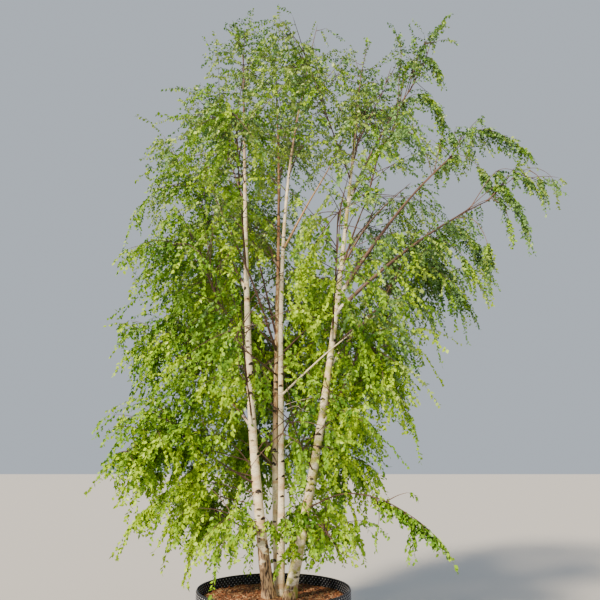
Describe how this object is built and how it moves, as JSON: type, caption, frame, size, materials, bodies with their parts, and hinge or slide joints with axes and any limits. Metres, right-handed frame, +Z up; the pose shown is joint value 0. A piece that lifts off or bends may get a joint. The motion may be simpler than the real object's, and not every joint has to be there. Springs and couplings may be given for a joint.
{
  "type": "potted multi-stem silver birch",
  "caption": "Tall multi-stemmed silver birch in fresh spring leaf, standing in a wide round dimpled nursery container filled with compost and bark mulch.",
  "frame": {"origin": "middle of the container's flat underside", "axes": "+Z up, +X to the right in the picture, +Y away from the picture's viewer"},
  "size_m": [4.3082, 3.404, 6.3844],
  "materials": {
    "pot_plastic": "black dimpled moulded plastic, dull sheen, dusty towards the foot",
    "compost": "rough reddish-brown bark mulch over damp compost",
    "white_bark": "papery white birch bark with dark bands, fissured and brown at the foot",
    "tan_bark": "peeling bark, cream below and peach brown above",
    "dark_bark": "smooth dark reddish-brown young bark with a soft gloss",
    "foliage": "thin fresh leaves, soft satin, yellow-green low down and olive towards the top"
  },
  "bodies": {
    "root": {"pot": "pot_plastic", "compost": "compost", "stem_left": "white_bark", "stem_middle_back": "tan_bark", "stem_middle_front": "white_bark", "stem_right": "white_bark", "bough_broad_1": "dark_bark", "bough_broad_2": "dark_bark", "bough_broad_3": "dark_bark", "bough_broad_4": "dark_bark", "bough_broad_5": "dark_bark", "bough_far_right": "dark_bark", "bough_middle_1": "dark_bark", "bough_middle_2": "dark_bark", "bough_middle_3": "dark_bark", "bough_middle_4": "dark_bark", "bough_middle_5": "dark_bark", "bough_shoulder_1": "dark_bark", "bough_shoulder_2": "dark_bark", "bough_shoulder_3": "dark_bark", "bough_shoulder_4": "dark_bark", "bough_shoulder_5": "dark_bark", "bough_top_right": "dark_bark", "bough_upper_right": "dark_bark", "foliage_broad_1": "foliage", "foliage_broad_2": "foliage", "foliage_broad_3": "foliage", "foliage_broad_4": "foliage", "foliage_broad_5": "foliage", "foliage_far_right": "foliage", "foliage_head_1": "foliage", "foliage_head_2": "foliage", "foliage_head_3": "foliage", "foliage_head_4": "foliage", "foliage_inner_right": "foliage", "foliage_leader_left": "foliage", "foliage_leader_middle_back": "foliage", "foliage_leader_middle_front": "foliage", "foliage_leader_right": "foliage", "foliage_low_1": "foliage", "foliage_low_2": "foliage", "foliage_low_3": "foliage", "foliage_low_4": "foliage", "foliage_middle_1": "foliage", "foliage_middle_2": "foliage", "foliage_middle_3": "foliage", "foliage_middle_4": "foliage", "foliage_middle_5": "foliage", "foliage_shoulder_1": "foliage", "foliage_shoulder_2": "foliage", "foliage_shoulder_3": "foliage", "foliage_shoulder_4": "foliage", "foliage_shoulder_5": "foliage", "foliage_skirt_1": "foliage", "foliage_skirt_2": "foliage", "foliage_skirt_3": "foliage", "foliage_skirt_4": "foliage", "foliage_top_right": "foliage", "foliage_trailing": "foliage", "foliage_upper_right": "foliage"}
  },
  "joints": []
}
